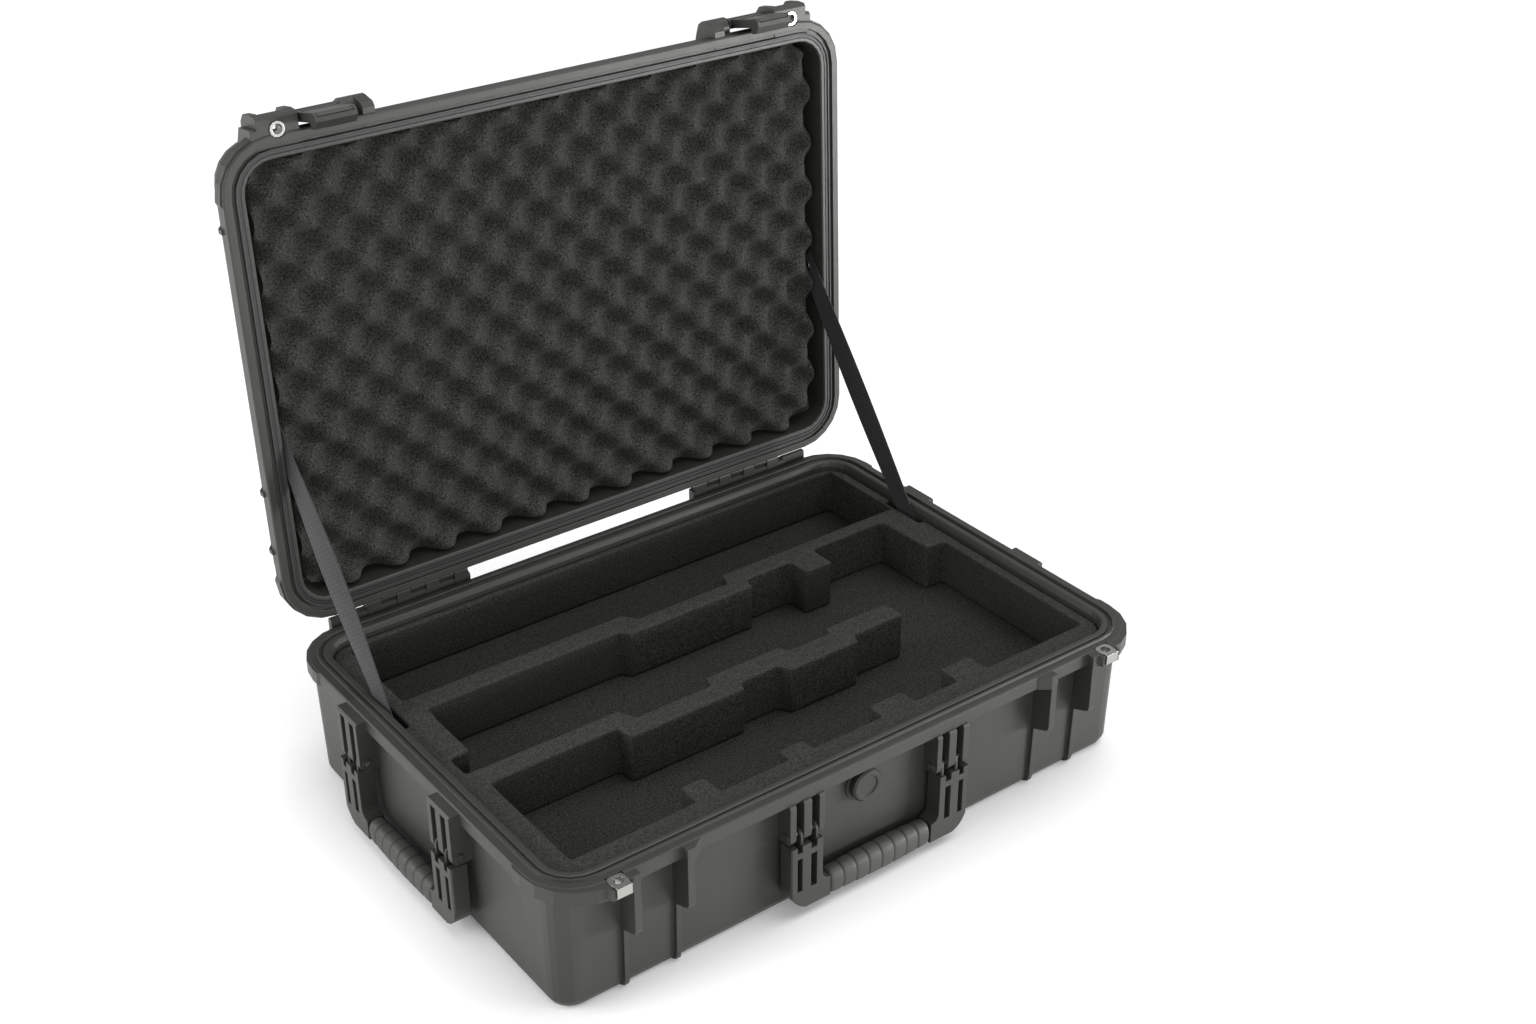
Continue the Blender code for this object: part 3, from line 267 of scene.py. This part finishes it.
def mesh_piece(name, points, faces, material, smooth=True):
    """A piece from points in metres; its faces are turned to point out."""
    mesh = bpy.data.meshes.new(name)
    mesh.from_pydata(points, [], faces)
    work = bmesh.new()
    work.from_mesh(mesh)
    bmesh.ops.recalc_face_normals(work, faces=work.faces)
    work.to_mesh(mesh)
    work.free()
    piece = bpy.data.objects.new(name, mesh)
    bpy.context.scene.collection.objects.link(piece)
    mesh.materials.append(material)
    if smooth:
        mesh.shade_smooth()
    return piece


def closed_rings(rings):
    """Faces of a closed skin through rings of equal length, the last joined to the first."""
    count = len(rings[0])
    faces = []
    for row in range(len(rings)):
        base = row * count
        following = ((row + 1) % len(rings)) * count
        for i in range(count):
            j = (i + 1) % count
            faces.append((base + i, base + j, following + j, following + i))
    return faces


def apply_modifiers(piece):
    """Put the evaluated mesh in place of the piece's own."""
    depsgraph = bpy.context.evaluated_depsgraph_get()
    mesh = bpy.data.meshes.new_from_object(piece.evaluated_get(depsgraph), depsgraph=depsgraph)
    piece.modifiers.clear()
    piece.data = mesh


def stand_for(piece, body, node):
    """The piece rides on a body in place of one CAD node."""
    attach(piece, body)
    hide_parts(node)


def joint_named(name):
    return next(joint for joint in frame["joints"] if joint["name"] == name)


def closed_box(node):
    """The low and high corners, in millimetres, of a piece of the lid with the lid closed."""
    source = frame["nodes"][node]
    shut = lid_turn().inverted() @ source.matrix_world
    points = np.array([shut @ vertex.co for vertex in source.data.vertices]) / MM
    return Vector(points.min(axis=0)), Vector(points.max(axis=0))


def lid_turn():
    """Turns the closed lid's coordinates, in metres, to where the lid rests open."""
    joint = joint_named("lid_hinge")
    pivot = Matrix.Translation(Vector(joint["pos_m"]))
    angle = -math.radians(joint["range_deg"][1])
    return pivot @ Matrix.Rotation(angle, 4, "X") @ pivot.inverted()


# ---------------------------------------------------------------- foam

def soften(piece, voxel, rounds):
    """Round a cut block's edges a little, as foam's are, on an even grid of faces."""
    remesh = piece.modifiers.new("even", "REMESH")
    remesh.mode = "VOXEL"
    remesh.voxel_size = voxel * MM
    smooth = piece.modifiers.new("soft", "SMOOTH")
    smooth.factor = 0.5
    smooth.iterations = rounds
    apply_modifiers(piece)


def roughen(piece, waves):
    """Move each vertex along its normal by smooth noise: (size, height) pairs in millimetres."""
    normals = [vertex.normal.copy() for vertex in piece.data.vertices]
    for vertex, normal in zip(piece.data.vertices, normals):
        shift = sum(noise.noise(vertex.co / (size * MM)) * height for size, height in waves)
        vertex.co += normal * shift * MM


def cut_foam(node, material):
    """A foam layer from its CAD solid, with soft cut edges and a slightly uneven face."""
    source = frame["nodes"][node]
    piece = bpy.data.objects.new(node + "_cut", source.data.copy())
    bpy.context.scene.collection.objects.link(piece)
    piece.data.materials.clear()
    piece.data.materials.append(material)
    soften(piece, CUT_VOXEL, 1)
    roughen(piece, ((45.0, 0.25), (7.0, 0.12)))
    piece.data.shade_smooth()
    stand_for(piece, "base", node)
    return piece


def corner_pull(x, y, half_x, half_y, radius):
    """Draw a point of the full rectangle into its rounded corner."""
    over_x = abs(x) - (half_x - radius)
    over_y = abs(y) - (half_y - radius)
    if over_x <= 0.0 or over_y <= 0.0:
        return x, y
    far = max(over_x, over_y)
    length = math.hypot(over_x, over_y)
    scale = far / length
    new_x = math.copysign(half_x - radius + over_x * scale, x)
    new_y = math.copysign(half_y - radius + over_y * scale, y)
    return new_x, new_y


def convoluted_height(x, y):
    """Peaks in staggered rows; the squeeze keeps the peaks rounder than a plain sine."""
    wave = math.cos(2.0 * math.pi * x / PITCH) * math.cos(2.0 * math.pi * y / PITCH)
    return WAVE * (wave * 1.22 - 0.22 * wave ** 3)


def lid_foam(material):
    """The convoluted foam: one closed block whose face is a field of peaks and valleys."""
    low, high = closed_box("lid_foam")
    turn = lid_turn()
    half_x = high.x - SIDE_GAP
    half_y = (high.y - low.y) / 2 - END_GAP
    middle_y = (high.y + low.y) / 2
    face = low.z + WAVE + PEAK_GAP
    back = high.z - BACK_GAP
    columns = round(2 * half_x / FOAM_STEP)
    rows = round(2 * half_y / FOAM_STEP)
    points = []
    for layer in (0, 1):
        for row in range(rows + 1):
            for column in range(columns + 1):
                x = -half_x + 2 * half_x * column / columns
                y = -half_y + 2 * half_y * row / rows
                x, y = corner_pull(x, y, half_x, half_y, FOAM_CORNER)
                edge = min(half_x - abs(x), half_y - abs(y))
                if layer == 0:
                    ease = 1.6 * max(0.0, 1.0 - edge / 3.0) ** 2
                    z = face - convoluted_height(x, y) + ease
                else:
                    z = back
                points.append(turn @ (Vector((x, y + middle_y, z)) * MM))
    width = columns + 1
    offset = (rows + 1) * width
    faces = []
    for row in range(rows):
        for column in range(columns):
            a = row * width + column
            faces.append((a, a + 1, a + width + 1, a + width))
            faces.append((offset + a, offset + a + 1, offset + a + width + 1, offset + a + width))
    border = list(range(columns)) + [row * width + columns for row in range(rows)]
    border += [rows * width + column for column in range(columns, 0, -1)]
    border += [row * width for row in range(rows, 0, -1)]
    for a, b in zip(border, border[1:] + border[:1]):
        faces.append((a, b, offset + b, offset + a))
    piece = mesh_piece("lid_foam_convoluted", points, faces, material)
    piece.data.set_sharp_from_angle(angle=math.radians(60.0))
    roughen(piece, ((60.0, 0.9), (4.5, 0.22)))
    stand_for(piece, "lid", "lid_foam")
    return piece


# ---------------------------------------------------------------- grips

def grip_scale(along, half):
    """Fuller in the middle, with a crowned band between each pair of grooves."""
    share = along / half
    body = 0.86 + 0.11 * math.cos(share * math.pi / 2)
    place = (share + 1.0) / 2 * GRIP_BANDS % 1.0
    crown = 0.022 * math.sin(place * math.pi)
    near = min(place, 1.0 - place) * 2 * half / GRIP_BANDS
    groove = GROOVE / 12.0 * math.exp(-(near / 0.8) ** 2)
    end = 0.16 * math.exp(-(half - abs(along)) / 1.2)
    return body + crown - groove - end


def ribbed_grip(wall, material):
    """A soft sleeve round the handle's bar, with rounded bands."""
    node = "handle_" + wall + "_grip"
    low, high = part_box(node)
    centre = (low + high) / 2
    size = (high - low) / 2
    axis = 0 if wall == "front" else 1
    out = 1 - axis
    half = size[axis] / MM - 0.3
    stations = [-half + 2 * half * i / GRIP_STATIONS for i in range(GRIP_STATIONS + 1)]
    sections = [(along, grip_scale(along, half)) for along in stations]
    rings = []
    for along, scale in [(-half, 0.0)] + sections + [(half, 0.0)]:
        ring = []
        for i in range(GRIP_SIDES):
            angle = 2 * math.pi * i / GRIP_SIDES
            if scale:
                corner = abs(math.cos(angle)) ** GRIP_POWER + abs(math.sin(angle)) ** GRIP_POWER
                reach = corner ** (-1 / GRIP_POWER)
                a = size[out] / MM * scale * reach * math.cos(angle)
                b = size.z / MM * scale * reach * math.sin(angle)
            else:
                square = GRIP_HOLE / max(abs(math.cos(angle)), abs(math.sin(angle)))
                a = 0.86 * square * math.cos(angle)
                b = square * math.sin(angle)
            point = centre.copy()
            point[axis] += along * MM
            point[out] += a * MM
            point.z += b * MM
            ring.append(point)
        rings.append(ring)
    points = [point for ring in rings for point in ring]
    piece = mesh_piece(node + "_ribbed", points, closed_rings(rings), material)
    piece.data.set_sharp_from_angle(angle=math.radians(50.0))
    stand_for(piece, "handle_" + wall, node)
    return piece


# ---------------------------------------------------------------- straps

def middle_of(node):
    low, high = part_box(node)
    return (low + high) / 2


def webbing_strap(side, material):
    """A flat stay between its two screws."""
    sign = -1.0 if side == "left" else 1.0
    low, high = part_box("lid_strap_" + side)
    plane = (low.x + high.x) / 2
    start = middle_of("strap_screw_base_" + side)
    end = middle_of("strap_screw_lid_" + side)
    start.x = plane
    end.x = plane
    along = (end - start).normalized()
    across = Vector((0.0, -along.z, along.y))
    first = start - along * STRAP_END * MM
    length = (end - start).length + 2 * STRAP_END * MM
    section = []
    for share, thick in ((-1.0, 0.55), (-0.9, 1.0), (0.0, 0.9), (0.9, 1.0), (1.0, 0.55)):
        section.append((share * STRAP_WIDTH / 2, thick * STRAP_THICK / 2))
    outline = section + [(a, -b) for a, b in reversed(section)]
    rings = []
    for step in range(STRAP_STEPS + 1):
        share = step / STRAP_STEPS
        bow = -sign * STRAP_BOW * math.sin(share * math.pi) * MM
        centre = first + along * length * share + Vector((bow, 0.0, 0.0))
        twist = math.radians(STRAP_TWIST[side]) * math.sin(share * math.pi) ** 2
        wide = across * math.cos(twist) + Vector((math.sin(twist), 0.0, 0.0))
        out = wide.cross(along)
        rings.append([centre + wide * a * MM + out * b * MM for a, b in outline])
    points = [point for ring in rings for point in ring]
    count = len(outline)
    faces = closed_rings(rings)[:-count]
    faces += [tuple(range(count)), tuple(range(len(points) - count, len(points)))]
    piece = mesh_piece("lid_strap_" + side + "_webbing", points, faces, material)
    piece.data.set_sharp_from_angle(angle=math.radians(70.0))
    layer = piece.data.uv_layers.new(name="UVMap")
    for loop in piece.data.loops:
        offset = piece.data.vertices[loop.vertex_index].co - first
        layer.data[loop.index].uv = (offset.dot(along) / 0.3, offset.dot(across) / 0.03)
    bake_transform(piece)
    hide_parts("lid_strap_" + side)
    return piece


# ---------------------------------------------------------------- studio

def area_light(name, place, aim, size, power):
    """A soft rectangular light that faces its aim."""
    data = bpy.data.lights.new(name, "AREA")
    data.shape = "RECTANGLE"
    data.size, data.size_y = size
    data.energy = power
    light = bpy.data.objects.new(name, data)
    bpy.context.scene.collection.objects.link(light)
    light.location = place
    light.rotation_euler = (Vector(aim) - Vector(place)).to_track_quat("-Z", "Y").to_euler()


def sun_light(name, towards, strength, spread):
    """A soft distant light; towards points from the case to the light."""
    data = bpy.data.lights.new(name, "SUN")
    data.energy = strength
    data.angle = math.radians(spread)
    light = bpy.data.objects.new(name, data)
    bpy.context.scene.collection.objects.link(light)
    light.rotation_euler = Vector(towards).to_track_quat("Z", "Y").to_euler()


def studio():
    """A pale floor, a pale surround and large soft lights."""
    half = FLOOR_HALF
    corners = [(-half, -half, 0.0), (half, -half, 0.0), (half, half, 0.0), (-half, half, 0.0)]
    floor = mesh_piece("floor", corners, [(0, 1, 2, 3)], floor_material(), smooth=False)
    world = bpy.data.worlds.new("surround")
    bpy.context.scene.world = world
    world.use_nodes = True
    surround = world.node_tree.nodes["Background"]
    surround.inputs["Color"].default_value = (1.0, 1.0, 1.0, 1.0)
    surround.inputs["Strength"].default_value = SURROUND
    sun_light("sun", *SUN)
    for name, values in AREA_LIGHTS.items():
        area_light(name, *values)
    bpy.context.scene.view_settings.view_transform = "Standard"


def camera():
    """The camera looks at its target from the front left and above."""
    back = Vector((math.sin(AZIMUTH) * math.cos(ELEVATION),
                   -math.cos(AZIMUTH) * math.cos(ELEVATION), math.sin(ELEVATION)))
    data = bpy.data.cameras.new("camera")
    data.lens = LENS
    data.sensor_width = 36.0
    view = bpy.data.objects.new("camera", data)
    bpy.context.scene.collection.objects.link(view)
    view.location = TARGET + back * DISTANCE
    view.rotation_euler = (-back).to_track_quat("-Z", "Y").to_euler()
    bpy.context.scene.camera = view


# ---------------------------------------------------------------- assembly

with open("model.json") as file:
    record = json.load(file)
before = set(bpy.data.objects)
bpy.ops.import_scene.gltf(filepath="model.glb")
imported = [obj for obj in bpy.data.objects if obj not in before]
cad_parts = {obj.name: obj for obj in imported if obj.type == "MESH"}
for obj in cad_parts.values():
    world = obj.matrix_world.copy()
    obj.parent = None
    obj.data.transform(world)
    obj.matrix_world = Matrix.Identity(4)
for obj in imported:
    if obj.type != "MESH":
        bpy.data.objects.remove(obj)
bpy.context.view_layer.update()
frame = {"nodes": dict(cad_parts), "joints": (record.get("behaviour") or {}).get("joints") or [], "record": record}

materials = {
    "shell": plastic_material("shell_plastic", PLASTIC, 0.46, 0.9, 0.16),
    "latch": plastic_material("latch_plastic", scaled(PLASTIC, 0.80), 0.42, 0.7, 0.10),
    "grip": plastic_material("grip_plastic", GRIP, 0.56, 0.5, 0.25),
    "foam": foam_material("foam", FOAM_DARK, FOAM_LIGHT, LID_GRAIN),
    "gasket": rubber_material(),
    "webbing": webbing_material(),
    "steel": steel_material(),
}
for entry in frame["record"]["subparts"]:
    node_mesh = frame["nodes"][entry["node"]].data
    node_mesh.materials.clear()
    node_mesh.materials.append(materials[entry["material_slot"]])

lid_foam(materials["foam"])
tray_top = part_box("base_foam_tray")[1].z
# The tray's top faces are painted paler: partly foam skin, partly painted light.
cut_block = foam_material("cut_foam", scaled(FOAM_DARK, 1.3), scaled(FOAM_LIGHT, 0.80), CUT_GRAIN, tray_top)
for layer_node in ("base_foam_lower", "base_foam_middle", "base_foam_tray"):
    cut_foam(layer_node, cut_block)
for wall_name in ("front", "left", "right"):
    ribbed_grip(wall_name, materials["grip"])
for side_name in ("left", "right"):
    webbing_strap(side_name, materials["webbing"])

studio()
camera()
